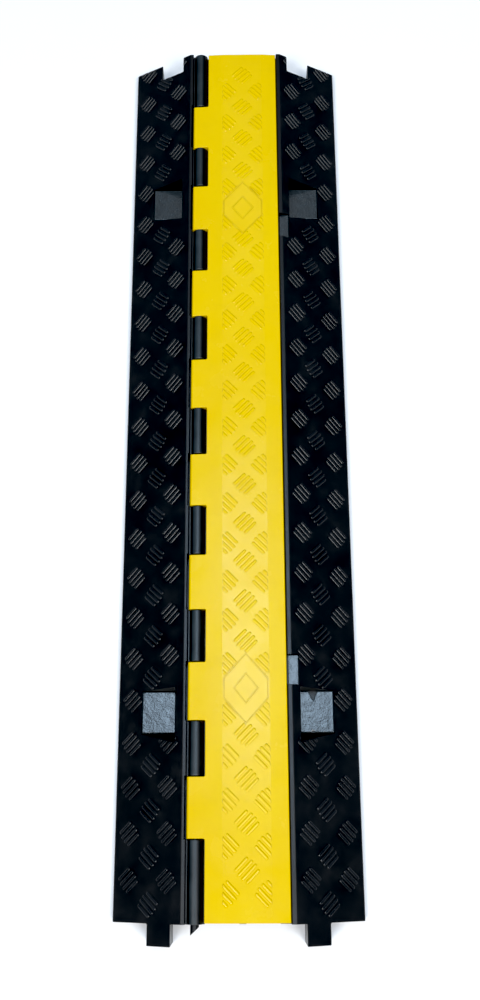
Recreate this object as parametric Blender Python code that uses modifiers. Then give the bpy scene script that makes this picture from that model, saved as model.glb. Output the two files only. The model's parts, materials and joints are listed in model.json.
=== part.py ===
"""Two-channel cable protector ramp with a hinged lid.

World frame: metres, +Z up. X runs across the ramp (the way wheels roll over
it), Y runs along the cable channels. The underside lies on Z = 0 and the
origin is the middle of the footprint, tabs included.
Dimensions below are in millimetres and are turned into metres by mm().
"""
import math
import bpy
import bmesh
from mathutils import Matrix

MM = 0.001

# ---- overall size -------------------------------------------------------
BODY_LENGTH = 1000.0         # rubber body, without its joining tabs
WIDTH = 248.0
HEIGHT = 50.0                # flat rims beside the lid
TOE_HEIGHT = 10.0            # upright edge at the foot of each slope
SLOPE_TOP_X = 55.0           # where the slopes meet the rims
TAB_LENGTH = 20.0
END_FRONT = -490.0           # the end with the tabs
END_REAR = END_FRONT + BODY_LENGTH

# ---- cable channels -----------------------------------------------------
CHANNEL_FLOOR = 8.0
LEDGE_Z = 41.7               # the lid rests here
CHANNEL_1 = (-32.0, 0.5)
CHANNEL_2 = (7.5, 40.0)
WELL_RIGHT = 50.4            # inner face of the right rim
CHANNEL_CORNER = 3.0

# ---- hinge --------------------------------------------------------------
AXIS_X = -42.0
AXIS_Z = 41.5
KNUCKLE_R = 8.3
FINGER_R = 8.6
ROD_R = 4.25
BORE_GAP = 0.35              # all round the rod
RIM_INNER_X = -51.1          # inner face of the left rim beside a knuckle
VALLEY_Z = 45.0              # bottom of the groove between rim and knuckle
SEAT_WALL_X = -53.0          # inner face of the left rim beside a finger
FINGER_LEFT = -50.6          # outer face of a finger
FINGER_CORNER = 3.0          # rounding of its upper corner
FINGER_COUNT = 8
FINGER_LENGTH = 58.0
FINGER_PITCH = 112.6
FINGER_SIDE_GAP = 0.8
SEAT_Z = 31.9                # floor of the pockets that the fingers turn in
ROD_PROUD = 10.0             # sticks out of the front end
ROD_CUT = 0.9                # slope of the rod's slanting cut

# ---- lid ----------------------------------------------------------------
LID_FRONT = -489.0
LID_REAR = 509.5
LID_LEFT = -32.7             # edge of the plate between the fingers
LID_RIGHT = 49.8
LID_UNDER = 42.0
BAND = (-15.7, 32.3)         # level strip along the lid
BAND_TOP = 50.2
MARGIN_FALL = 0.07           # the top falls away this much per mm on both sides

# ---- joining tabs and sockets -------------------------------------------
TAB_X = 76.9
TAB_WIDTH = 23.6
SOCKET_X = 77.5
SOCKET_WIDTH = 26.5
SOCKET_DEPTH = 21.0

# ---- level recesses and their reflective pads ---------------------------
PAD_INNER_X, PAD_OUTER_X = 63.9, 97.8
PAD_ROWS = {"front": (-310.6, -269.7), "rear": (290.5, 330.9)}
PAD_TOP = 24.6
PAD_THICK = 2.0
SMALL_PAD_X = (51.4, 61.9)
SMALL_PAD_ROWS = {"front": (-265.3, -235.2), "rear": (252.5, 282.7)}
SMALL_PAD_TOP = 45.2
SMALL_PAD_THICK = 1.5
FIT_GAP = 0.35
# Moulding draft of the recess walls that face along the ramp.
DRAFT_FRONT, DRAFT_REAR = math.tan(math.radians(24.0)), math.tan(math.radians(6.0))


def mm(*values):
    out = [v * MM for v in values]
    return out[0] if len(out) == 1 else tuple(out)


# ---- scene --------------------------------------------------------------
for old in list(bpy.data.objects):
    bpy.data.objects.remove(old, do_unlink=True)

parts = bpy.data.collections.new("cable_protector_ramp")
cutters = bpy.data.collections.new("cutters")
bpy.context.scene.collection.children.link(parts)
bpy.context.scene.collection.children.link(cutters)


def material(name, colour, roughness, metallic=0.0):
    mat = bpy.data.materials.new(name)
    mat.use_nodes = True
    shader = mat.node_tree.nodes["Principled BSDF"]
    shader.inputs["Base Color"].default_value = (*colour, 1.0)
    shader.inputs["Roughness"].default_value = roughness
    shader.inputs["Metallic"].default_value = metallic
    return mat


RUBBER = material("black_rubber", (0.012, 0.012, 0.014), 0.55)
YELLOW = material("yellow_pvc", (0.93, 0.66, 0.01), 0.40)
ROD = material("rod_black", (0.02, 0.02, 0.022), 0.35)
GREY = material("reflective_grey", (0.32, 0.37, 0.42), 0.30)


def put(obj, collection):
    for c in list(obj.users_collection):
        c.objects.unlink(obj)
    collection.objects.link(obj)
    if collection is cutters:
        obj.hide_render = True
        obj.display_type = 'WIRE'
    return obj


def from_bmesh(name, bm, collection):
    mesh = bpy.data.meshes.new(name)
    bm.normal_update()
    bm.to_mesh(mesh)
    bm.free()
    obj = bpy.data.objects.new(name, mesh)
    collection.objects.link(obj)
    if collection is cutters:
        obj.hide_render = True
        obj.display_type = 'WIRE'
    return obj


def box(name, x, y, z, collection=cutters):
    """Block between two corners, in millimetres."""
    bm = bmesh.new()
    size = (x[1] - x[0], y[1] - y[0], z[1] - z[0])
    centre = ((x[0] + x[1]) / 2, (y[0] + y[1]) / 2, (z[0] + z[1]) / 2)
    bmesh.ops.create_cube(bm, size=1.0)
    bmesh.ops.scale(bm, vec=mm(*size), verts=bm.verts)
    obj = from_bmesh(name, bm, collection)
    obj.location = mm(*centre)
    return obj


def rod_along_y(name, x, z, radius, y0, y1, segments, collection=cutters):
    """Round bar lying along Y."""
    bm = bmesh.new()
    bmesh.ops.create_cone(bm, cap_ends=True, segments=segments,
                          radius1=mm(radius), radius2=mm(radius), depth=mm(y1 - y0))
    bmesh.ops.rotate(bm, cent=(0, 0, 0), matrix=Matrix.Rotation(math.pi / 2, 3, 'X'),
                     verts=bm.verts)
    obj = from_bmesh(name, bm, collection)
    obj.location = mm(x, (y0 + y1) / 2, z)
    return obj


def extruded(name, outline, y0, y1, collection):
    """An X-Z outline in millimetres, run along Y as a filled 2D curve."""
    curve = bpy.data.curves.new(name + "_outline", 'CURVE')
    curve.dimensions = '2D'
    curve.fill_mode = 'BOTH'
    curve.extrude = mm(y1 - y0) / 2
    spline = curve.splines.new('POLY')
    spline.points.add(len(outline) - 1)
    for point, (x, z) in zip(spline.points, outline):
        point.co = (mm(x), mm(z), 0.0, 1.0)
    spline.use_cyclic_u = True
    source = bpy.data.objects.new(name + "_curve", curve)
    cutters.objects.link(source)
    source.rotation_euler = (math.pi / 2, 0, 0)
    source.location = mm(0, (y0 + y1) / 2, 0)
    bpy.context.view_layer.update()
    graph = bpy.context.evaluated_depsgraph_get()
    mesh = bpy.data.meshes.new_from_object(source.evaluated_get(graph))
    bm = bmesh.new()
    bm.from_mesh(mesh)
    bmesh.ops.remove_doubles(bm, verts=bm.verts, dist=1e-6)
    bmesh.ops.recalc_face_normals(bm, faces=bm.faces)
    bm.to_mesh(mesh)
    bm.free()
    obj = bpy.data.objects.new(name, mesh)
    obj.matrix_world = source.matrix_world.copy()
    collection.objects.link(obj)
    if collection is cutters:
        obj.hide_render = True
        obj.display_type = 'WIRE'
    bpy.data.objects.remove(source, do_unlink=True)
    return obj


def boolean(target, tool, operation):
    mod = target.modifiers.new(tool.name, 'BOOLEAN')
    mod.operation = operation
    mod.object = tool
    mod.solver = 'EXACT'
    return mod


def arc(cx, cz, r, a0, a1, steps):
    """Points on an arc, angles in degrees."""
    return [(cx + r * math.cos(math.radians(a0 + (a1 - a0) * i / steps)),
             cz + r * math.sin(math.radians(a0 + (a1 - a0) * i / steps)))
            for i in range(steps + 1)]


def finger_spans():
    """Y span of each lid finger, front to rear, centred on the lid."""
    middle = (LID_FRONT + LID_REAR) / 2
    first = middle - FINGER_PITCH * (FINGER_COUNT - 1) / 2
    return [(first + i * FINGER_PITCH - FINGER_LENGTH / 2,
             first + i * FINGER_PITCH + FINGER_LENGTH / 2) for i in range(FINGER_COUNT)]


def slope_z(x):
    """Height of the ramp's slope at distance |x| from the middle."""
    run = WIDTH / 2 - SLOPE_TOP_X
    return TOE_HEIGHT + (WIDTH / 2 - abs(x)) * (HEIGHT - TOE_HEIGHT) / run


# ---- base: one rubber moulding ------------------------------------------
def channel_outline(x0, x1):
    """Walls and rounded lower corners of one channel, right to left."""
    r = CHANNEL_CORNER
    return ([(x1, LEDGE_Z)] + arc(x1 - r, CHANNEL_FLOOR + r, r, 0, -90, 3)
            + arc(x0 + r, CHANNEL_FLOOR + r, r, -90, -180, 3) + [(x0, LEDGE_Z)])


half = WIDTH / 2
pedestal_z = AXIS_Z - 0.1
left_channel = channel_outline(*CHANNEL_1)
left_channel[-1] = (CHANNEL_1[0], pedestal_z)
base_outline = ([(-half + 1.0, 0), (half - 1.0, 0), (half, 1.0), (half, TOE_HEIGHT - 1.0),
                 (half - 1.0, slope_z(half - 1.0)),
                 (SLOPE_TOP_X, HEIGHT), (WELL_RIGHT, HEIGHT), (WELL_RIGHT, LEDGE_Z)]
                + channel_outline(*CHANNEL_2) + left_channel
                + [(AXIS_X, pedestal_z), (AXIS_X, VALLEY_Z), (RIM_INNER_X, VALLEY_Z),
                   (RIM_INNER_X, HEIGHT), (-SLOPE_TOP_X, HEIGHT),
                   (-half + 1.0, slope_z(half - 1.0)), (-half, TOE_HEIGHT - 1.0),
                   (-half, 1.0)])
# The outline and the hinge barrel are run on past both ends, then trimmed.
base = extruded("base_ramp", base_outline, END_FRONT - TAB_LENGTH - 2.0, END_REAR + 2.0, parts)
base.data.materials.append(RUBBER)

# Hinge knuckles: one round barrel along the left side of the well, which the
# finger pockets below then cut into nine.
barrel = rod_along_y("barrel", AXIS_X, AXIS_Z, KNUCKLE_R, END_FRONT - TAB_LENGTH - 4.0,
                     END_REAR + 4.0, 32)
boolean(base, barrel, 'UNION')
boolean(base, box("trim_rear", (-half - 5, half + 5), (END_REAR, END_REAR + 15), (-5, HEIGHT + 5)),
        'DIFFERENCE')

# Front end: all but the two joining tabs is cut back, so the tabs' tops carry
# on the slopes.
tab_in, tab_out = TAB_X - TAB_WIDTH / 2, TAB_X + TAB_WIDTH / 2
for label, x0, x1, y1 in (("left", -half - 5, -tab_out, END_FRONT),
                          ("middle", -tab_in, tab_in, END_FRONT),
                          ("right", tab_out, half + 5, END_FRONT),
                          ("ends", -half - 5, half + 5, END_FRONT - TAB_LENGTH)):
    boolean(base, box("trim_front_" + label, (x0, x1), (END_FRONT - TAB_LENGTH - 15, y1),
                      (-5, HEIGHT + 5)), 'DIFFERENCE')

# Pockets in the hinge seat, open to the left channel, where the fingers turn.
for i, (y0, y1) in enumerate(finger_spans()):
    seat = box("finger_seat_%d" % (i + 1), (SEAT_WALL_X, CHANNEL_1[0] + 1.0),
               (y0 - FINGER_SIDE_GAP, y1 + FINGER_SIDE_GAP), (SEAT_Z, HEIGHT + 5))
    boolean(base, seat, 'DIFFERENCE')

# Bore for the hinge rod through every knuckle.
bore_r = (ROD_R + BORE_GAP) / math.cos(math.pi / 24)
boolean(base, rod_along_y("rod_bore", AXIS_X, AXIS_Z, bore_r, END_FRONT - 5, END_REAR + 5, 24),
        'DIFFERENCE')

# Sockets at the rear end, cut right through, take the next ramp's tabs.
for side, sign in (("left", -1), ("right", 1)):
    xs = sorted((sign * (SOCKET_X - SOCKET_WIDTH / 2), sign * (SOCKET_X + SOCKET_WIDTH / 2)))
    socket = box("socket_" + side, xs, (END_REAR - SOCKET_DEPTH, END_REAR + 5), (-5, HEIGHT + 5))
    boolean(base, socket, 'DIFFERENCE')

# Level recesses for the pads.
for row, (y0, y1) in PAD_ROWS.items():
    for side, sign in (("left", -1), ("right", 1)):
        xs = sorted((sign * (PAD_INNER_X - FIT_GAP), sign * (PAD_OUTER_X + FIT_GAP)))
        floor, top = PAD_TOP - PAD_THICK - FIT_GAP, HEIGHT + 5
        recess = box("recess_%s_%s" % (row, side), xs, (y0 - FIT_GAP, y1 + FIT_GAP), (floor, top))
        for v in recess.data.vertices:
            if v.co.z > 0:
                v.co.y += mm(top - floor) * (DRAFT_REAR if v.co.y > 0 else -DRAFT_FRONT)
        boolean(base, recess, 'DIFFERENCE')
for row, (y0, y1) in SMALL_PAD_ROWS.items():
    notch = box("lift_notch_" + row, (WELL_RIGHT - 1.0, SMALL_PAD_X[1] + FIT_GAP),
                (y0 - FIT_GAP, y1 + FIT_GAP),
                (SMALL_PAD_TOP - SMALL_PAD_THICK - FIT_GAP, HEIGHT + 5))
    boolean(base, notch, 'DIFFERENCE')

def lid_z(x):
    """Height of the lid's top face."""
    return BAND_TOP - MARGIN_FALL * max(0.0, BAND[0] - x, x - BAND[1])


# ---- lid: plate with a level band and eight hinge fingers ---------------
# Its parent empty stands on the hinge's axis.
hinge = bpy.data.objects.new("hinge_axis", None)
hinge.location = mm(AXIS_X, 0, AXIS_Z)
cutters.objects.link(hinge)

lid_outline = [(LID_LEFT, LID_UNDER), (LID_RIGHT, LID_UNDER),
               (LID_RIGHT, lid_z(LID_RIGHT) - 0.6), (LID_RIGHT - 0.6, lid_z(LID_RIGHT)),
               (BAND[1], BAND_TOP), (BAND[0], BAND_TOP), (LID_LEFT, lid_z(LID_LEFT))]
lid = extruded("lid", lid_outline, LID_FRONT, LID_REAR, parts)
lid.data.materials.append(YELLOW)
for i, (y0, y1) in enumerate(finger_spans()):
    # A barrel below; above, a top face that carries on the plate's fall and
    # ends in a rounded corner.
    corner_x = FINGER_LEFT + FINGER_CORNER
    corner_z = lid_z(corner_x) - FINGER_CORNER
    join_x = LID_LEFT + 3.0
    outline = ([(join_x, lid_z(join_x) - 0.01)]
               + arc(corner_x, corner_z, FINGER_CORNER, 90, 180, 5)
               + arc(AXIS_X, AXIS_Z, FINGER_R, 180, 360, 18)
               + [(AXIS_X + FINGER_R, LID_UNDER + 0.01), (join_x, LID_UNDER + 0.01)])
    finger = extruded("finger_%d" % (i + 1), outline, y0, y1, cutters)
    boolean(lid, finger, 'UNION')
boolean(lid, rod_along_y("finger_bore", AXIS_X, AXIS_Z, bore_r,
                         LID_FRONT - 5, LID_REAR + 5, 24), 'DIFFERENCE')

# ---- hinge rod, cut slantwise at its front end --------------------------
bm = bmesh.new()
rod_front, rod_rear = END_FRONT - ROD_PROUD, END_REAR - 1.0
bmesh.ops.create_cone(bm, cap_ends=True, segments=24, radius1=mm(ROD_R), radius2=mm(ROD_R),
                      depth=mm(rod_rear - rod_front))
bmesh.ops.rotate(bm, cent=(0, 0, 0), matrix=Matrix.Rotation(math.pi / 2, 3, 'X'),
                 verts=bm.verts)
front_y = -mm(rod_rear - rod_front) / 2
for v in bm.verts:
    if v.co.y < 0:
        v.co.y = front_y + ROD_CUT * (v.co.x + mm(ROD_R))
rod = from_bmesh("hinge_rod", bm, parts)
rod.location = mm(AXIS_X, (rod_front + rod_rear) / 2, AXIS_Z)
rod.data.materials.append(ROD)
rod.data.shade_smooth()
rod.data.set_sharp_from_angle(angle=math.radians(40))


# ---- pads ---------------------------------------------------------------
def pad(name, xs, ys, top, thick):
    """Thin block with a small chamfer round its edges."""
    obj = box(name, xs, ys, (top - thick, top), parts)
    bevel = obj.modifiers.new("edge", 'BEVEL')
    bevel.width = mm(0.4)
    bevel.segments = 1
    bevel.limit_method = 'ANGLE'
    obj.data.materials.append(GREY)
    return obj


for row, ys in PAD_ROWS.items():
    for side, sign in (("left", -1), ("right", 1)):
        pad("reflector_%s_%s" % (row, side),
            sorted((sign * PAD_INNER_X, sign * PAD_OUTER_X)), ys, PAD_TOP, PAD_THICK)
for row, ys in SMALL_PAD_ROWS.items():
    pad("lift_notch_pad_" + row, SMALL_PAD_X, ys, SMALL_PAD_TOP, SMALL_PAD_THICK)

# The lid hangs on the hinge's axis; its place in the world stays the same.
bpy.context.view_layer.update()
world = lid.matrix_world.copy()
lid.parent = hinge
lid.matrix_parent_inverse = hinge.matrix_world.inverted()
lid.matrix_world = world
bpy.context.view_layer.update()
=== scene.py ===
"""Looks for the cable protector ramp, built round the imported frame.

Local dimensions are in millimetres and become metres at the end of each mesh.
X runs across the ramp, Y along its channels, +Z is up.
"""

import json
import math

import bmesh
import bpy
from mathutils import Matrix, Vector


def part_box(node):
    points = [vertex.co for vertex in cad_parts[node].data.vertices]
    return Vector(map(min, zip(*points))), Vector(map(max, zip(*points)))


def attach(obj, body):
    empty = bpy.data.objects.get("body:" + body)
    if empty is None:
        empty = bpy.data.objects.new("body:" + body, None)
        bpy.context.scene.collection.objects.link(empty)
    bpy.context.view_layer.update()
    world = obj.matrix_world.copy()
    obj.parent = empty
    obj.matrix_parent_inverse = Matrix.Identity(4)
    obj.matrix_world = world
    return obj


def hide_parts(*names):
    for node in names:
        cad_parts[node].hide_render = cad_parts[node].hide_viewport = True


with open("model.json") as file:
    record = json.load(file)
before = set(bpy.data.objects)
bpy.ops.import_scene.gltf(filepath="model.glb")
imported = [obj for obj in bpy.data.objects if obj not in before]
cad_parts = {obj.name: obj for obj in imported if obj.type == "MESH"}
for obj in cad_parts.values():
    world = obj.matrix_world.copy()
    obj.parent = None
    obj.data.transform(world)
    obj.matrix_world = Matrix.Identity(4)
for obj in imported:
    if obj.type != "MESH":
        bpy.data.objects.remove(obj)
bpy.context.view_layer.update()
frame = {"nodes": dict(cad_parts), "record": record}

MM = 0.001

# ---- places taken from the frame ----------------------------------------
base_lo, base_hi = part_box("base_ramp")
lid_lo, lid_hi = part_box("lid")
rod_lo, rod_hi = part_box("hinge_rod")
hinge = frame["record"]["behaviour"]["joints"][0]["pos_m"]

HALF = base_hi.x / MM
HEIGHT = base_hi.z / MM
TAB_LENGTH = 20.0
END_FRONT = base_lo.y / MM + TAB_LENGTH
END_REAR = base_hi.y / MM
AXIS_X, AXIS_Z = hinge[0] / MM, hinge[2] / MM
LID_FRONT, LID_REAR = lid_lo.y / MM, lid_hi.y / MM
LID_RIGHT = lid_hi.x / MM
FINGER_LEFT = lid_lo.x / MM
BAND_TOP = lid_hi.z / MM

# ---- the moulding's own sizes -------------------------------------------
TOE = 10.0
SLOPE_TOP = 55.0
LEDGE_Z = 41.7
FLOOR_Z = 8.0
CHANNEL_1 = (-32.0, 0.5)
CHANNEL_2 = (7.5, 40.0)
WELL_RIGHT = 50.4
RIM_INNER = -51.1
VALLEY_Z = 45.0
SEAT_WALL = -53.0
SEAT_Z = 31.9
KNUCKLE_R = 8.3
BORE_R = 4.6
FINGERS = 8
FINGER_LENGTH = 58.0
FINGER_PITCH = 112.6
FINGER_GAP = 0.8
LID_LEFT = -32.7
LID_UNDER = 42.0
BAND = (-15.7, 32.3)
MARGIN_FALL = 0.07
TAB_X, TAB_WIDTH = 76.9, 23.6
SOCKET_X, SOCKET_WIDTH, SOCKET_DEPTH = 77.5, 26.5, 21.0
FIT = 0.35
# Moulding draft of the recess walls that face along the ramp.
DRAFT_FRONT, DRAFT_REAR = math.tan(math.radians(24.0)), math.tan(math.radians(6.0))


def slope_z(x):
    return TOE + (HALF - abs(x)) * (HEIGHT - TOE) / (HALF - SLOPE_TOP)


def lid_z(x):
    return BAND_TOP - MARGIN_FALL * max(0.0, BAND[0] - x, x - BAND[1])


def finger_spans():
    middle = (LID_FRONT + LID_REAR) / 2
    first = middle - FINGER_PITCH * (FINGERS - 1) / 2
    return [(first + i * FINGER_PITCH - FINGER_LENGTH / 2,
             first + i * FINGER_PITCH + FINGER_LENGTH / 2) for i in range(FINGERS)]


# ---- mesh helpers --------------------------------------------------------
def mesh_object(name, bm):
    mesh = bpy.data.meshes.new(name)
    bm.to_mesh(mesh)
    bm.free()
    obj = bpy.data.objects.new(name, mesh)
    bpy.context.scene.collection.objects.link(obj)
    return obj


def rounded(points, steps=4):
    """Closed outline from (x, z, radius) corners, each filleted."""
    out, n = [], len(points)
    for i, (x, z, r) in enumerate(points):
        p = Vector((x, z))
        if r <= 0:
            out.append((x, z))
            continue
        a = (Vector(points[i - 1][:2]) - p).normalized()
        b = (Vector(points[(i + 1) % n][:2]) - p).normalized()
        half = a.angle(b) / 2
        centre = p + (a + b).normalized() * (r / math.sin(half))
        start, end = p + a * (r / math.tan(half)) - centre, p + b * (r / math.tan(half)) - centre
        turn = start.angle(end)
        if start.x * end.y - start.y * end.x < 0:
            turn = -turn
        for k in range(steps + 1):
            c, s = math.cos(turn * k / steps), math.sin(turn * k / steps)
            out.append((centre.x + start.x * c - start.y * s, centre.y + start.x * s + start.y * c))
    return out


def arc(cx, cz, r, a0, a1, steps):
    return [(cx + r * math.cos(math.radians(a0 + (a1 - a0) * i / steps)),
             cz + r * math.sin(math.radians(a0 + (a1 - a0) * i / steps)))
            for i in range(steps + 1)]


def clean(outline):
    """Drops points that repeat the one before."""
    out = []
    for p in outline:
        if not out or math.dist(p, out[-1]) > 1e-4:
            out.append(p)
    if math.dist(out[0], out[-1]) < 1e-4:
        out.pop()
    return out


def prism_into(bm, outline, lo, hi, axis='Y'):
    """A closed outline run along Y (x, z points) or along Z (x, y points)."""
    outline = clean(outline)

    def point(p, t):
        return (p[0], t, p[1]) if axis == 'Y' else (p[0], p[1], t)

    a = [bm.verts.new(point(p, lo)) for p in outline]
    b = [bm.verts.new(point(p, hi)) for p in outline]
    n = len(outline)
    faces = [bm.faces.new((a[i], a[(i + 1) % n], b[(i + 1) % n], b[i])) for i in range(n)]
    faces += [bm.faces.new(a[::-1]), bm.faces.new(b)]
    bmesh.ops.recalc_face_normals(bm, faces=faces)
    return faces


def prism(name, outline, lo, hi, axis='Y'):
    bm = bmesh.new()
    prism_into(bm, outline, lo, hi, axis)
    return mesh_object(name, bm)


def block_into(bm, x, y, z, corner=0.0):
    """Block with rounded upright corners."""
    prism_into(bm, rounded([(x[0], y[0], corner), (x[1], y[0], corner), (x[1], y[1], corner),
                            (x[0], y[1], corner)], 3), z[0], z[1], 'Z')


def round_bar(name, x, z, r, y0, y1, segments):
    return prism(name, arc(x, z, r, 0, 360, segments)[:-1], y0, y1)


def settle(obj):
    """Bakes the modifiers into the mesh."""
    bpy.context.view_layer.update()
    graph = bpy.context.evaluated_depsgraph_get()
    mesh = bpy.data.meshes.new_from_object(obj.evaluated_get(graph))
    obj.modifiers.clear()
    obj.data = mesh
    return obj


def combine(obj, tool, operation, solver='MANIFOLD'):
    mod = obj.modifiers.new("cut", 'BOOLEAN')
    mod.operation, mod.object, mod.solver = operation, tool, solver
    settle(obj)
    bpy.data.objects.remove(tool, do_unlink=True)


def bevel_where(obj, test, width, segments=2, limit=25.0):
    """Rounds the sharp edges whose two ends pass the test."""
    bm = bmesh.new()
    bm.from_mesh(obj.data)
    edges = [e for e in bm.edges
             if len(e.link_faces) == 2 and e.calc_face_angle(0) > math.radians(limit)
             and test(e.verts[0].co, e.verts[1].co)]
    bmesh.ops.bevel(bm, geom=edges, offset=width, offset_type='OFFSET', segments=segments,
                    profile=0.5, affect='EDGES', clamp_overlap=False)
    bmesh.ops.remove_doubles(bm, verts=bm.verts, dist=1e-4)
    bm.to_mesh(obj.data)
    bm.free()


def finish_mesh(obj, angle=32.0):
    """To metres, smooth where the surface is round, with flat faces kept flat."""
    obj.data.transform(Matrix.Scale(MM, 4))
    obj.data.shade_smooth()
    obj.data.set_sharp_from_angle(angle=math.radians(angle))
    # A plane of the design keeps its own direction up to its very edge.
    run = math.atan2(HEIGHT - TOE, HALF - SLOPE_TOP)
    planes = [Vector(v) for v in ((0, 0, 1), (1, 0, 0), (0, 1, 0),
                                  (math.sin(run), 0, math.cos(run)),
                                  (-math.sin(run), 0, math.cos(run)))]
    bm = bmesh.new()
    bm.from_mesh(obj.data)
    bm.normal_update()
    flat = {f.index: any(abs(f.normal.dot(n)) > 0.99998 for n in planes) for f in bm.faces}
    for e in bm.edges:
        if len(e.link_faces) == 2 and flat[e.link_faces[0].index] != flat[e.link_faces[1].index]:
            e.smooth = False
    bm.to_mesh(obj.data)
    bm.free()
    mod = obj.modifiers.new("flat_faces", 'WEIGHTED_NORMAL')
    mod.keep_sharp = True
    mod.weight = 80
    settle(obj)
    obj.data.update()
    return obj


# ---- tread bars ----------------------------------------------------------
BAR_LEVELS = ((1.65, -0.7), (1.65, 0.0), (1.50, 0.42), (1.22, 0.70), (0.80, 0.84))

LID_BAR_LEVELS = ((1.70, -0.7), (1.70, 0.0), (1.25, 0.50), (0.70, 0.80), (0.20, 0.92))


def bar_into(bm, matrix, length, levels=BAR_LEVELS, height=1.0):
    """A low rounded lug lying along local X, its foot sunk under Z = 0."""
    rings = []
    for half_width, z in levels:
        reach = length / 2 - (levels[1][0] - half_width) * 1.3
        pts = []
        for side in (0, 1):
            for k in range(5):
                t = math.radians(-90 + 45 * k + 180 * side)
                cx = (reach - half_width) * (1 if side == 0 else -1)
                pts.append(Vector((cx + half_width * math.cos(t), half_width * math.sin(t),
                                   z * height)))
        rings.append([bm.verts.new(matrix @ p) for p in pts])
    faces = []
    for low, high in zip(rings, rings[1:]):
        n = len(low)
        faces += [bm.faces.new((low[i], low[(i + 1) % n], high[(i + 1) % n], high[i]))
                  for i in range(n)]
    faces += [bm.faces.new(rings[0][::-1]), bm.faces.new(rings[-1])]
    bmesh.ops.recalc_face_normals(bm, faces=faces)


def cluster_into(bm, place, turn, count=4, length=20.0, pitch=5.0, height=1.0, keep=None,
                 levels=BAR_LEVELS):
    """Parallel bars side by side; turn is the bars' direction in degrees.
    keep(x, y) says which bars stand, by their middle."""
    spin = Matrix.Rotation(math.radians(turn), 4, 'Z')
    for k in range(count):
        offset = (k - (count - 1) / 2) * pitch
        local = spin @ Matrix.Translation((0, offset, 0))
        shorter = length * (0.86 if k in (0, count - 1) else 1.0)
        matrix = place @ local
        if keep is None or keep(matrix.translation):
            bar_into(bm, matrix, shorter, levels, height)


# ---- base ----------------------------------------------------------------
def make_base():
    corners = [(-HALF, 0, 0.6), (HALF, 0, 0.6), (HALF, TOE, 2.0), (SLOPE_TOP, HEIGHT, 2.5),
               (WELL_RIGHT, HEIGHT, 1.1), (WELL_RIGHT, LEDGE_Z, 0.4), (CHANNEL_2[1], LEDGE_Z, 0.8),
               (CHANNEL_2[1], FLOOR_Z, 3.0), (CHANNEL_2[0], FLOOR_Z, 3.0),
               (CHANNEL_2[0], LEDGE_Z, 0.8), (CHANNEL_1[1], LEDGE_Z, 0.8),
               (CHANNEL_1[1], FLOOR_Z, 3.0), (CHANNEL_1[0], FLOOR_Z, 3.0),
               (CHANNEL_1[0], AXIS_Z - 0.1, 0.5), (AXIS_X, AXIS_Z - 0.1, 0), (AXIS_X, VALLEY_Z, 0),
               (RIM_INNER, VALLEY_Z, 0.5), (RIM_INNER, HEIGHT, 1.1), (-SLOPE_TOP, HEIGHT, 2.5),
               (-HALF, TOE, 2.0)]
    base = prism("ramp_body", rounded(corners, 5), END_FRONT - TAB_LENGTH - 2, END_REAR + 2)
    combine(base, round_bar("barrel", AXIS_X, AXIS_Z, KNUCKLE_R, END_FRONT - TAB_LENGTH - 4,
                            END_REAR + 4, 72), 'UNION')

    bm = bmesh.new()
    far = HALF + 5
    inner, outer = TAB_X - TAB_WIDTH / 2, TAB_X + TAB_WIDTH / 2
    low, high = -5.0, HEIGHT + 6
    front = END_FRONT - TAB_LENGTH
    # One cutter per end, drawn in plan, so their corners can be rounded.
    block = [(-far, front - 12, 0), (far, front - 12, 0), (far, END_FRONT, 0),
             (outer, END_FRONT, 1.2), (outer, front, 0.8), (inner, front, 0.8),
             (inner, END_FRONT, 1.2), (-inner, END_FRONT, 1.2), (-inner, front, 0.8),
             (-outer, front, 0.8), (-outer, END_FRONT, 1.2), (-far, END_FRONT, 0)]
    prism_into(bm, rounded(block, 3), low, high, 'Z')
    s_in, s_out = SOCKET_X - SOCKET_WIDTH / 2, SOCKET_X + SOCKET_WIDTH / 2
    floor_y = END_REAR - SOCKET_DEPTH
    block = [(-far, END_REAR + 12, 0), (-far, END_REAR, 0), (-s_out, END_REAR, 1.0),
             (-s_out, floor_y, 1.5), (-s_in, floor_y, 1.5), (-s_in, END_REAR, 1.0),
             (s_in, END_REAR, 1.0), (s_in, floor_y, 1.5), (s_out, floor_y, 1.5),
             (s_out, END_REAR, 1.0), (far, END_REAR, 0), (far, END_REAR + 12, 0)]
    prism_into(bm, rounded(block, 3), low, high, 'Z')
    combine(base, mesh_object("end_cutters", bm), 'DIFFERENCE')

    bm = bmesh.new()
    for y0, y1 in finger_spans():
        block_into(bm, (SEAT_WALL, CHANNEL_1[0] + 1.0), (y0 - FINGER_GAP, y1 + FINGER_GAP),
                   (SEAT_Z, high), 0.0)
    combine(base, mesh_object("seat_cutters", bm), 'DIFFERENCE')
    combine(base, round_bar("bore", AXIS_X, AXIS_Z, BORE_R, END_FRONT - TAB_LENGTH - 8,
                            END_REAR + 8, 48), 'DIFFERENCE')
    return base




REFLECTORS = ("reflector_front_left", "reflector_front_right", "reflector_rear_left",
              "reflector_rear_right")


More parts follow.
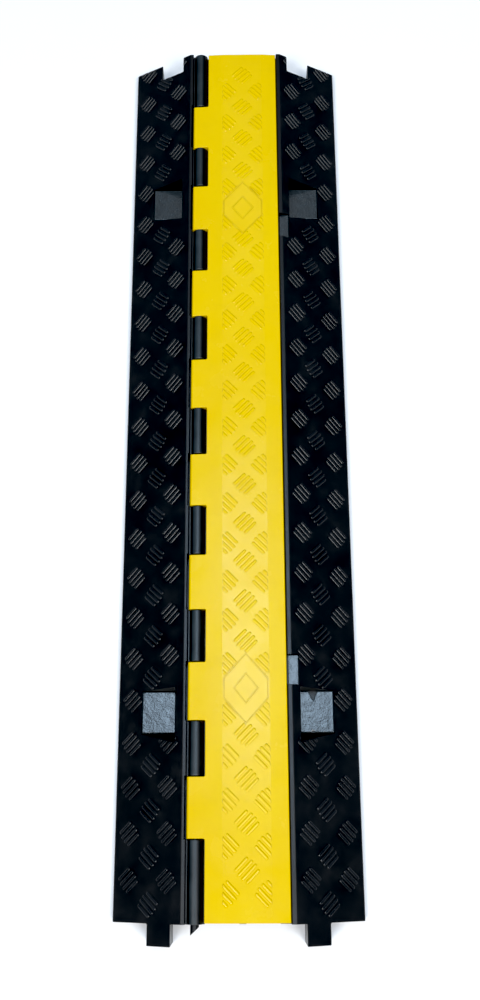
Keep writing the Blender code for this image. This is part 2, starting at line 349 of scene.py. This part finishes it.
def recess_into(bm, node, margin=0.0):
    """The room of one pad recess: upright at the sides, drafted fore and aft."""
    lo, hi = (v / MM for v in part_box(node))
    gap, low, high = FIT + margin, lo.z - FIT, HEIGHT + 6
    plan = rounded([(lo.x - gap, lo.y - gap, 1.0), (hi.x + gap, lo.y - gap, 1.0),
                    (hi.x + gap, hi.y + gap, 1.0), (lo.x - gap, hi.y + gap, 1.0)], 3)
    middle = (lo.y + hi.y) / 2
    floor = [bm.verts.new((x, y, low)) for x, y in plan]
    mouth = [bm.verts.new((x, y + (high - low) * (DRAFT_REAR if y > middle else -DRAFT_FRONT),
                           high)) for x, y in plan]
    n = len(plan)
    faces = [bm.faces.new((floor[i], floor[(i + 1) % n], mouth[(i + 1) % n], mouth[i]))
             for i in range(n)]
    faces += [bm.faces.new(floor[::-1]), bm.faces.new(mouth)]
    bmesh.ops.recalc_face_normals(bm, faces=faces)


def base_recesses(base):
    bm = bmesh.new()
    high = HEIGHT + 6
    for node in REFLECTORS:
        recess_into(bm, node)
    for node in ("lift_notch_pad_front", "lift_notch_pad_rear"):
        lo, hi = (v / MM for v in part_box(node))
        block_into(bm, (WELL_RIGHT - 1.0, hi.x + FIT), (lo.y - FIT, hi.y + FIT),
                   (lo.z - FIT, high), 0.6)
    combine(base, mesh_object("recess_cutters", bm), 'DIFFERENCE')


def near(value, target, tol=0.02):
    return abs(value - target) < tol


def round_base_edges(base):
    """Moulding radii on the ends, the tab and socket sides, and the knuckles."""
    spans = finger_spans()
    ends = [END_FRONT, END_REAR, END_FRONT - TAB_LENGTH]
    cheeks = [y for y0, y1 in spans for y in (y0 - FINGER_GAP, y1 + FINGER_GAP)]
    rear_floor = END_REAR - SOCKET_DEPTH

    def end_edge(a, b):
        if any(near(a.y, y) and near(b.y, y) for y in ends + [rear_floor]):
            return True
        # tab sides and socket sides
        side = SOCKET_X - SOCKET_WIDTH / 2 - 2 < abs(a.x) < SOCKET_X + SOCKET_WIDTH / 2 + 2
        side = side and SOCKET_X - SOCKET_WIDTH / 2 - 2 < abs(b.x) < SOCKET_X + SOCKET_WIDTH / 2 + 2
        out = max(a.y, b.y) < END_FRONT + 2 or min(a.y, b.y) > rear_floor - 2
        return side and out and (a - b).xz.length > 1e-4 or (side and out and near(a.x, b.x))

    def knuckle_edge(a, b):
        inside = all(RIM_INNER + 0.5 < v.x < CHANNEL_1[0] and v.z > AXIS_Z + 1.0 for v in (a, b))
        return inside and any(near(a.y, y) and near(b.y, y) for y in cheeks)

    bevel_where(base, end_edge, 0.45, 2)
    bevel_where(base, knuckle_edge, 1.1, 3, limit=40)


# ---- treads --------------------------------------------------------------
ROW_PITCH = 43.43
ROW_START = -451.5
COLUMNS = (108.6, 87.8, 69.8)
PLAN_TURN = 45.0


def on_slope(sign, x, y):
    """Frame on a slope: X' down or up the slope towards +X, Z' out of it."""
    run = math.atan2(HEIGHT - TOE, HALF - SLOPE_TOP)
    c, s = math.cos(run), math.sin(run)
    right, out = Vector((c, 0, -sign * s)), Vector((sign * s, 0, c))
    m = Matrix((right, Vector((0, 1, 0)), out)).transposed().to_4x4()
    m.translation = Vector((sign * x, y, slope_z(x)))
    return m


def slope_treads():
    run = math.atan2(HEIGHT - TOE, HALF - SLOPE_TOP)
    turn = math.degrees(math.atan(math.cos(run)))
    pads = [tuple(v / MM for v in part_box(n)) for n in
            ("reflector_front_right", "reflector_rear_right")]

    def clear(x, y):
        """False where a pad recess takes the cluster's place."""
        return not any(lo.x - 7 < x < hi.x + 3 and lo.y - 8 < y < hi.y + 8 for lo, hi in pads)

    bm = bmesh.new()
    for sign in (-1, 1):
        for column, x in enumerate(COLUMNS):
            start = ROW_START - (ROW_PITCH / 2 if column == 1 else 0.0)
            way = (1 if column != 1 else -1) * -sign
            for k in range(23):
                y = start + k * ROW_PITCH
                if clear(x, y):
                    cluster_into(bm, on_slope(sign, x, y), way * turn, height=1.15)
    bars = mesh_object("slope_bars", bm)
    # Sockets, the end plane and the pad recesses trim the bars that reach them.
    bm = bmesh.new()
    s_in, s_out = SOCKET_X - SOCKET_WIDTH / 2 - 1.0, SOCKET_X + SOCKET_WIDTH / 2 + 1.0
    for sign in (-1, 1):
        xs = sorted((sign * s_in, sign * s_out))
        block_into(bm, xs, (END_REAR - SOCKET_DEPTH - 1.0, END_REAR + 5.0), (-5, HEIGHT + 9))
    combine(bars, mesh_object("socket_trim", bm), 'DIFFERENCE')
    bm = bmesh.new()
    block_into(bm, (-HALF - 20, HALF + 20), (END_REAR - 1.0, END_REAR + 20), (-5, HEIGHT + 9))
    combine(bars, mesh_object("end_trim", bm), 'DIFFERENCE')
    bm = bmesh.new()
    for node in REFLECTORS:
        recess_into(bm, node, 1.0)
    combine(bars, mesh_object("recess_trim", bm), 'DIFFERENCE')
    bm = bmesh.new()
    for node in ("lift_notch_pad_front", "lift_notch_pad_rear"):
        lo, hi = (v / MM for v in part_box(node))
        block_into(bm, (SLOPE_TOP - 3.0, hi.x + FIT + 0.8), (lo.y - 1.2, hi.y + 1.2), (20, 60))
    combine(bars, mesh_object("notch_trim", bm), 'DIFFERENCE')
    return bars


# ---- lid -----------------------------------------------------------------
LID_ROW = 43.6
LID_CENTRE = (BAND[0] + BAND[1]) / 2
DIAMOND_HALF_Y = 34.7
DIAMOND_HALF_X = 31.0
DIAMONDS = (-268.9, 290.5)


def diamond(y, grow=0.0):
    """Plan outline of the plain lozenge, cut off square by the band's edges."""
    hx, hy = DIAMOND_HALF_X + grow, DIAMOND_HALF_Y + grow * DIAMOND_HALF_Y / DIAMOND_HALF_X
    reach = (BAND[1] - BAND[0]) / 2 - 1.6 + min(grow, 0.0) * 0.8
    cut = hy * (1 - reach / hx)
    cx = LID_CENTRE
    return [(cx, y - hy), (cx + reach, y - cut), (cx + reach, y + cut), (cx, y + hy),
            (cx - reach, y + cut), (cx - reach, y - cut)]


def make_lid():
    corners = [(CHANNEL_1[0] + 2.0, LID_UNDER, 0.0), (LID_RIGHT, LID_UNDER, 0.5),
               (LID_RIGHT, lid_z(LID_RIGHT), 1.2), (BAND[1], BAND_TOP, 0.0),
               (BAND[0], BAND_TOP, 0.0), (FINGER_LEFT, lid_z(FINGER_LEFT), 2.6),
               (FINGER_LEFT, AXIS_Z, 0.0)]
    outline = rounded(corners, 5)
    outline += arc(AXIS_X, AXIS_Z, 8.6, 180, 360, 28) + [(AXIS_X + 8.6, LID_UNDER)]
    lid = prism("ramp_lid", outline, LID_FRONT, LID_REAR)

    # Slots between the fingers, where the knuckles stand.
    bm = bmesh.new()
    spans = finger_spans()
    gaps = [(LID_FRONT - 10, spans[0][0])] + \
           [(spans[i][1], spans[i + 1][0]) for i in range(FINGERS - 1)] + \
           [(spans[-1][1], LID_REAR + 10)]
    for y0, y1 in gaps:
        outline = rounded([(FINGER_LEFT - 6, y0, 0), (LID_LEFT, y0, 1.6), (LID_LEFT, y1, 1.6),
                           (FINGER_LEFT - 6, y1, 0)], 4)
        prism_into(bm, outline, 20, 60, 'Z')
    combine(lid, mesh_object("slot_cutters", bm), 'DIFFERENCE')
    combine(lid, round_bar("lid_bore", AXIS_X, AXIS_Z, BORE_R, LID_FRONT - 5, LID_REAR + 5, 48),
            'DIFFERENCE')

    edges = [y for span in spans for y in span]

    def slot_edge(a, b):
        if a.z < 46.5 or b.z < 46.5:
            return False
        return a.x < LID_LEFT + 0.1 and b.x < LID_LEFT + 0.1 and \
            not (near(a.x, b.x) and near(a.y, b.y))

    def end_edge(a, b):
        return any(near(a.y, y) and near(b.y, y) for y in (LID_FRONT, LID_REAR)) and \
            min(a.x, b.x) > LID_LEFT - 0.05

    bevel_where(lid, slot_edge, 0.7, 3, limit=40)
    bevel_where(lid, end_edge, 0.6, 2, limit=20)
    return lid


def lid_treads():
    bm = bmesh.new()
    up = Matrix.Identity(4)

    def spot(x, y):
        m = up.copy()
        m.translation = Vector((x, y, BAND_TOP))
        return m

    rows = [-95.7 + LID_ROW * k for k in range(8)] + [249.0]
    rows += [340.7, 386.7, 431.2, 477.8]
    rows += [-137.1, -179.8, -221.4, -314.3, -357.5, -398.6, -441.8]
    for y in rows:
        cluster_into(bm, spot(LID_CENTRE, y), PLAN_TURN, length=21.0, pitch=5.2, height=0.85,
                         levels=LID_BAR_LEVELS)
    sides = [-117.4 + LID_ROW * k for k in range(9)]
    sides += [272.5, 318.0, 363.4, 408.8, 454.3]
    sides += [-159.0, -199.6, -245.0, -294.5, -335.8, -378.0, -420.2, -463.0]
    for y in sides:
        for x in (BAND[0] + 4.5, BAND[1] - 4.5):
            cluster_into(bm, spot(x, y), -PLAN_TURN, length=21.0, pitch=5.2, height=0.85,
                         levels=LID_BAR_LEVELS)
    bars = mesh_object("lid_bars", bm)
    bm = bmesh.new()
    block_into(bm, (BAND[0] + 0.8, BAND[1] - 0.8), (LID_FRONT + 1.2, LID_REAR - 1.2), (45, 60))
    combine(bars, mesh_object("band_limit", bm), 'INTERSECT')
    bm = bmesh.new()
    for y in DIAMONDS:
        prism_into(bm, diamond(y, 2.0), 40, 60, 'Z')
    combine(bars, mesh_object("diamond_limit", bm), 'DIFFERENCE')
    return bars


def rib_into(bm, outline_at, width, height, foot):
    """A closed raised line; outline_at(grow) gives its plan outline."""
    levels = ((width / 2, foot), (width / 2, 0.0), (width * 0.28, height),
              (-width * 0.28, height), (-width / 2, 0.0), (-width / 2, foot))
    rings = [[bm.verts.new((x, y, BAND_TOP + z)) for x, y in outline_at(g)] for g, z in levels]
    faces = []
    for low, high in zip(rings, rings[1:] + rings[:1]):
        n = len(low)
        faces += [bm.faces.new((low[i], low[(i + 1) % n], high[(i + 1) % n], high[i]))
                  for i in range(n)]
    bmesh.ops.recalc_face_normals(bm, faces=faces)


def lid_emblems():
    """Raised outlines: a large lozenge with a smaller plain one inside it."""
    bm = bmesh.new()
    for y in DIAMONDS:
        rib_into(bm, lambda g, y=y: diamond(y, g), 1.5, 0.55, -0.8)

        def inner(g, y=y):
            hx, hy = 12.0 + g, 15.0 + g * 1.25
            return [(LID_CENTRE, y - hy), (LID_CENTRE + hx, y), (LID_CENTRE, y + hy),
                    (LID_CENTRE - hx, y)]
        rib_into(bm, inner, 1.6, 0.5, -0.8)
    return mesh_object("emblems", bm)


# ---- rod and pads --------------------------------------------------------
def make_rod():
    radius, cut, sides = 4.25, 0.9, 48
    y0, y1 = rod_lo.y / MM, rod_hi.y / MM
    bm = bmesh.new()

    def ring(r, at):
        out = []
        for i in range(sides):
            t = 2 * math.pi * i / sides
            x, z = r * math.cos(t), r * math.sin(t)
            out.append(bm.verts.new((AXIS_X + x, at(x), AXIS_Z + z)))
        return out

    def slant(x):
        return y0 + cut * (x + radius)

    rings = [ring(radius - 0.45, slant), ring(radius - 0.12, lambda x: slant(x) + 0.15),
             ring(radius, lambda x: slant(x) + 0.5), ring(radius, lambda x: y1 - 0.6),
             ring(radius - 0.6, lambda x: y1)]
    for low, high in zip(rings, rings[1:]):
        for i in range(sides):
            bm.faces.new((low[i], low[(i + 1) % sides], high[(i + 1) % sides], high[i]))
    bm.faces.new(rings[0][::-1])
    bm.faces.new(rings[-1])
    bmesh.ops.recalc_face_normals(bm, faces=bm.faces)
    return mesh_object("hinge_pin", bm)


def make_pad(name, node, nicks=()):
    """A thin plate with rounded corners and softened top edges."""
    lo, hi = (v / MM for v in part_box(node))
    outline = rounded([(lo.x, lo.y, 0.9), (hi.x, lo.y, 0.9), (hi.x, hi.y, 0.9),
                       (lo.x, hi.y, 0.9)], 3)
    for shape in nicks:
        outline = shape(outline, lo, hi)
    pad = prism(name, outline, lo.z, hi.z, 'Z')
    bevel_where(pad, lambda a, b: a.z > hi.z - 0.01 and b.z > hi.z - 0.01, 0.55, 2, limit=40)
    return pad


def worn_edge(outline, lo, hi):
    """A torn V in the rear edge and a small bite out of the front one."""
    x = lo.x + 13.5
    out = []
    for i, p in enumerate(outline):
        q = outline[(i + 1) % len(outline)]
        out.append(p)
        if near(p[1], hi.y) and near(q[1], hi.y) and p[0] - q[0] > 5:
            out += [(x + 4.4, hi.y), (x + 2.6, hi.y - 3.6), (x + 0.7, hi.y - 9.6),
                    (x - 1.6, hi.y - 7.0), (x - 3.6, hi.y - 2.4), (x - 4.2, hi.y)]
        if near(p[1], lo.y) and near(q[1], lo.y) and q[0] - p[0] > 5:
            out += [(x - 2.2, lo.y), (x - 1.2, lo.y + 1.8), (x + 0.4, lo.y + 1.3),
                    (x + 1.1, lo.y)]
    return out


base = make_base()
base_recesses(base)
round_base_edges(base)
combine(base, slope_treads(), 'UNION')
lid = make_lid()
combine(lid, lid_treads(), 'UNION')
combine(lid, lid_emblems(), 'UNION')
rod = make_rod()


# ---- materials -----------------------------------------------------------
class Shader:
    """A material with one Principled BSDF and short ways to add nodes."""

    def __init__(self, name):
        self.mat = bpy.data.materials.new(name)
        self.mat.use_nodes = True
        self.tree = self.mat.node_tree
        self.bsdf = self.tree.nodes["Principled BSDF"]
        self.coord = self.tree.nodes.new("ShaderNodeTexCoord").outputs["Object"]
        self.height = None

    def node(self, kind, **values):
        node = self.tree.nodes.new(kind)
        for key, value in values.items():
            setattr(node, key, value)
        return node

    def link(self, a, b):
        self.tree.links.new(a, b)

    def stretch(self, scale, turn=0.0):
        m = self.node("ShaderNodeMapping")
        m.inputs["Scale"].default_value = scale
        m.inputs["Rotation"].default_value = (0, 0, math.radians(turn))
        self.link(self.coord, m.inputs["Vector"])
        return m.outputs["Vector"]

    def noise(self, scale, detail=3.0, rough=0.5, distortion=0.0, vector=None):
        n = self.node("ShaderNodeTexNoise")
        n.inputs["Scale"].default_value = scale
        n.inputs["Detail"].default_value = detail
        n.inputs["Roughness"].default_value = rough
        n.inputs["Distortion"].default_value = distortion
        self.link(vector or self.coord, n.inputs["Vector"])
        return n.outputs["Fac"]

    def cells(self, scale, feature='F1', vector=None):
        n = self.node("ShaderNodeTexVoronoi", feature=feature)
        n.inputs["Scale"].default_value = scale
        self.link(vector or self.coord, n.inputs["Vector"])
        return n.outputs["Distance"]

    def remap(self, value, low, high, to_low=0.0, to_high=1.0):
        n = self.node("ShaderNodeMapRange")
        n.inputs["From Min"].default_value = low
        n.inputs["From Max"].default_value = high
        n.inputs["To Min"].default_value = to_low
        n.inputs["To Max"].default_value = to_high
        self.link(value, n.inputs["Value"])
        return n.outputs["Result"]

    def math(self, operation, a, b=None):
        n = self.node("ShaderNodeMath", operation=operation)
        for socket, value in zip(n.inputs, (a, b)):
            if value is None:
                continue
            if isinstance(value, (int, float)):
                socket.default_value = value
            else:
                self.link(value, socket)
        return n.outputs[0]

    def blend(self, factor, a, b):
        n = self.node("ShaderNodeMix", data_type='RGBA')
        n.clamp_factor = True
        self.link(factor, n.inputs["Factor"])
        for name, value in (("A", a), ("B", b)):
            socket = [s for s in n.inputs if s.name == name and s.type == 'RGBA'][0]
            if isinstance(value, tuple):
                socket.default_value = (*value, 1.0)
            else:
                self.link(value, socket)
        return [s for s in n.outputs if s.type == 'RGBA'][0]

    def crevice(self, distance):
        """1 in the open, lower beside something that stands up."""
        n = self.node("ShaderNodeAmbientOcclusion", samples=8, only_local=True)
        n.inputs["Distance"].default_value = distance
        return n.outputs["AO"]

    def axes(self):
        n = self.node("ShaderNodeSeparateXYZ")
        self.link(self.coord, n.inputs[0])
        return n.outputs

    def colour(self, value):
        self.link(value, self.bsdf.inputs["Base Color"])

    def rough(self, value):
        self.link(value, self.bsdf.inputs["Roughness"])

    def bump(self, value, distance, strength=1.0):
        n = self.node("ShaderNodeBump")
        n.inputs["Distance"].default_value = distance
        n.inputs["Strength"].default_value = strength
        self.link(value, n.inputs["Height"])
        if self.height is not None:
            self.link(self.height, n.inputs["Normal"])
        self.height = n.outputs["Normal"]
        self.link(self.height, self.bsdf.inputs["Normal"])


def rubber():
    s = Shader("black_rubber_looks")
    s.bsdf.inputs["Specular IOR Level"].default_value = 0.50
    grain = s.noise(1500.0, 3.0, 0.6)
    mottle = s.noise(42.0, 5.0, 0.6)
    cloud = s.noise(7.0, 4.0, 0.55)
    pale = s.blend(s.remap(cloud, 0.35, 0.7), (0.0014, 0.0018, 0.0024), (0.0030, 0.0036, 0.0046))
    # Dust that has settled into the grain.
    dust = s.math('MULTIPLY', s.remap(mottle, 0.55, 0.78), s.remap(grain, 0.42, 0.62))
    pale = s.blend(s.math('MULTIPLY', dust, 0.35), pale, (0.030, 0.030, 0.031))
    nook = s.remap(s.crevice(2.5 * MM), 0.95, 0.65, 0.0, 0.30)
    pale = s.blend(s.math('MULTIPLY', nook, s.remap(mottle, 0.35, 0.65)), pale,
                   (0.020, 0.020, 0.021))
    # Crests of the lugs stand above the slope and are rubbed smoother; their lighter colour is a
    # painted highlight.
    x, y, z = s.axes()
    side = s.math('ABSOLUTE', x)
    plane = s.math('MULTIPLY_ADD', side, -(HEIGHT - TOE) / (HALF - SLOPE_TOP))
    plane.node.inputs[2].default_value = (TOE + HALF * (HEIGHT - TOE) / (HALF - SLOPE_TOP)) * MM
    above = s.math('SUBTRACT', z, plane)
    on_slope_only = s.remap(side, (SLOPE_TOP + 1.5) * MM, (SLOPE_TOP + 3.5) * MM)
    crest_wear_and_highlight = s.math('MULTIPLY', s.remap(above, 0.55 * MM, 1.0 * MM), on_slope_only)
    # painted highlight: the crests are lightened in colour
    pale = s.blend(s.math('MULTIPLY', crest_wear_and_highlight, s.remap(mottle, 0.3, 0.7, 0.25, 0.8)), pale,
                   (0.014, 0.016, 0.019))
    # Painted highlight: a lighter bluish stripe along the tops of the hinge knuckles.
    offset = s.math('ABSOLUTE', s.math('SUBTRACT', x, (AXIS_X - 1.4) * MM))
    knuckle_highlight = s.math('MULTIPLY', s.remap(offset, 4.4 * MM, 2.4 * MM),
                     s.remap(z, 46.8 * MM, 48.2 * MM))
    pale = s.blend(s.math('MULTIPLY', knuckle_highlight, s.remap(mottle, 0.3, 0.7, 0.5, 1.0)), pale,
                   (0.022, 0.032, 0.038))
    s.colour(pale)
    rough = s.remap(mottle, 0.3, 0.7, 0.34, 0.44)
    s.rough(s.math('SUBTRACT', rough, s.math('MULTIPLY', crest_wear_and_highlight, 0.12)))
    s.bump(s.noise(120.0, 4.0, 0.55), 0.00010)
    s.bump(grain, 0.00005)
    return s.mat


def yellow():
    s = Shader("yellow_pvc_looks")
    s.bsdf.inputs["Specular IOR Level"].default_value = 0.25
    grain = s.noise(1300.0, 3.0, 0.6)
    flow = s.noise(5.0, 4.0, 0.6, 0.4, s.stretch((1.6, 0.7, 1.0)))
    base = s.blend(s.remap(flow, 0.3, 0.72), (0.675, 0.452, 0.0008), (0.715, 0.500, 0.0010))
    mottle = s.noise(60.0, 5.0, 0.65)
    base = s.blend(s.remap(mottle, 0.5, 0.8, 0.0, 0.30), base, (0.60, 0.40, 0.0008))
    # Faint rubber marks where wheels have crossed.
    marks = s.noise(26.0, 6.0, 0.7, 0.6, s.stretch((0.35, 1.6, 1.0), 12.0))
    base = s.blend(s.remap(marks, 0.62, 0.80, 0.0, 0.22), base, (0.40, 0.27, 0.008))
    # Painted shade with some grime at the foot of the raised bars and lines, darker where the
    # crevice test finds them hemmed in.
    nook = s.crevice(1.7 * MM)
    grime_and_shade = s.math('MULTIPLY', s.remap(nook, 0.97, 0.72), s.remap(mottle, 0.30, 0.65, 0.30, 1.0))
    base = s.blend(s.math('MULTIPLY', grime_and_shade, 0.50), base, (0.24, 0.15, 0.004))
    s.colour(base)
    # The lozenges are polished, the rest is finely frosted.
    x, y, z = s.axes()
    across = s.math('ABSOLUTE', s.math('SUBTRACT', x, LID_CENTRE * MM))
    polish = None
    for centre in DIAMONDS:
        along = s.math('ABSOLUTE', s.math('SUBTRACT', y, centre * MM))
        reach = s.math('ADD', s.math('MULTIPLY', across, 1 / (DIAMOND_HALF_X * MM)),
                       s.math('MULTIPLY', along, 1 / (DIAMOND_HALF_Y * MM)))
        inside = s.remap(reach, 1.0, 0.97)
        polish = inside if polish is None else s.math('MAXIMUM', polish, inside)
    frosted = s.remap(s.noise(24.0, 4.0, 0.6), 0.35, 0.65, 0.15, 0.30)
    s.rough(s.math('SUBTRACT', frosted, s.math('MULTIPLY', polish, 0.06)))
    s.bump(s.noise(30.0, 3.0, 0.5), 0.00040)
    s.bump(grain, 0.00004)
    return s.mat


def black_rod():
    s = Shader("rod_black_looks")
    s.bsdf.inputs["Metallic"].default_value = 0.35
    streaks = s.noise(700.0, 4.0, 0.6, 0.0, s.stretch((1.0, 0.06, 1.0)))
    spots = s.noise(160.0, 5.0, 0.7)
    base = s.blend(s.remap(spots, 0.45, 0.75), (0.012, 0.013, 0.015), (0.030, 0.028, 0.027))
    s.colour(base)
    s.rough(s.remap(streaks, 0.3, 0.7, 0.30, 0.46))
    s.bump(streaks, 0.00004)
    return s.mat


def reflective(name, dark, light, glint):
    s = Shader(name)
    s.bsdf.inputs["Specular IOR Level"].default_value = 0.75
    patch = s.noise(160.0, 5.0, 0.65)
    beads = s.cells(620.0)
    base = s.blend(s.remap(patch, 0.32, 0.68), dark, light)
    base = s.blend(s.remap(s.noise(330.0, 4.0, 0.7), 0.60, 0.74, 0.0, 0.6), base, glint)
    scratch = s.noise(90.0, 6.0, 0.75, 0.8, s.stretch((0.4, 3.0, 1.0), 38.0))
    base = s.blend(s.remap(scratch, 0.63, 0.72, 0.0, 0.55), base, dark)
    s.colour(base)
    s.rough(s.remap(patch, 0.3, 0.7, 0.16, 0.30))
    s.bump(s.noise(140.0, 3.0, 0.5), 0.00030)
    s.bump(beads, 0.00006)
    return s.mat


def floor_looks():
    s = Shader("floor_looks")
    tone = s.noise(1.6, 3.0, 0.5)
    s.colour(s.blend(tone, (0.86, 0.86, 0.86), (0.90, 0.90, 0.90)))
    s.rough(s.remap(tone, 0.3, 0.7, 0.80, 0.90))
    return s.mat


# ---- the pieces ----------------------------------------------------------
rubber_mat, yellow_mat, rod_mat = rubber(), yellow(), black_rod()
film_near = reflective("reflective_looks", (0.004, 0.008, 0.011), (0.012, 0.020, 0.026),
                       (0.050, 0.065, 0.080))

for obj, mat, node, body, slot in (
        (base, rubber_mat, "base_ramp", "base", "black_rubber"),
        (lid, yellow_mat, "lid", "lid", "yellow_pvc"),
        (rod, rod_mat, "hinge_rod", "base", "rod_black")):
    finish_mesh(obj)
    obj.data.materials.clear()
    obj.data.materials.append(mat)
    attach(obj, body)
    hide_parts(node)

for node in frame["nodes"]:
    if not node.startswith(("reflector_", "lift_notch_pad_")):
        continue
    pad = make_pad("film_" + node.replace("reflector_", ""), node,
                   (worn_edge,) if node == "reflector_front_right" else ())
    finish_mesh(pad)
    pad.data.materials.clear()
    pad.data.materials.append(film_near)
    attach(pad, "base")
    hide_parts(node)

# ---- floor ---------------------------------------------------------------
bm = bmesh.new()
bmesh.ops.create_grid(bm, x_segments=8, y_segments=8, size=4000.0)
floor = mesh_object("floor", bm)
floor.data.transform(Matrix.Scale(MM, 4))
floor.location.z = -0.0002
floor.data.materials.append(floor_looks())

# ---- light ---------------------------------------------------------------
def softbox(name, place, target, size_x, size_y, energy, colour=(1, 1, 1)):
    data = bpy.data.lights.new(name, 'AREA')
    data.shape = 'RECTANGLE'
    data.size, data.size_y = size_x, size_y
    data.energy = energy
    data.color = colour
    obj = bpy.data.objects.new(name, data)
    obj.location = place
    obj.rotation_euler = (Vector(target) - Vector(place)).to_track_quat('-Z', 'Y').to_euler()
    bpy.context.scene.collection.objects.link(obj)
    return obj


softbox("ceiling", (0.0, 0.6, 2.7), (0.0, 0.6, 0.0), 4.0, 5.0, 30.0)
softbox("overhead", (0.0, 0.28, 2.5), (0.0, 0.28, 0.0), 0.70, 1.0, 20.0,
        (0.57, 0.78, 1.0))
softbox("overhead_far", (0.0, 1.8, 2.5), (0.0, 0.6, 0.0), 0.16, 0.8, 0.8,
        (0.80, 0.92, 1.0))
softbox("front_left", (-1.8, -2.6, 4.6), (0, 0.1, 0), 2.0, 1.6, 160.0)
softbox("front_right", (1.8, -2.6, 4.6), (0, 0.1, 0), 2.0, 1.6, 160.0)

world = bpy.data.worlds.new("room")
bpy.context.scene.world = world
world.use_nodes = True
world.node_tree.nodes["Background"].inputs["Color"].default_value = (0.30, 0.55, 1.0, 1)
world.node_tree.nodes["Background"].inputs["Strength"].default_value = 0.11

view = bpy.context.scene.view_settings
view.view_transform = 'Standard'
view.use_curve_mapping = True
view.curve_mapping.black_level = (0.0125, 0.0125, 0.0135)
view.curve_mapping.update()

# ---- camera --------------------------------------------------------------
camera_data = bpy.data.cameras.new("camera")
camera = bpy.data.objects.new("camera", camera_data)
bpy.context.scene.collection.objects.link(camera)
camera.location = (0.00577, -0.40880, 1.13958)
camera.rotation_euler = (0.32511, 0.00709, -0.00391)
camera_data.sensor_width = 36.0
camera_data.lens = 38.392
camera_data.shift_x = 0.00371
camera_data.shift_y = -0.02542
camera_data.clip_start = 0.01
bpy.context.scene.camera = camera
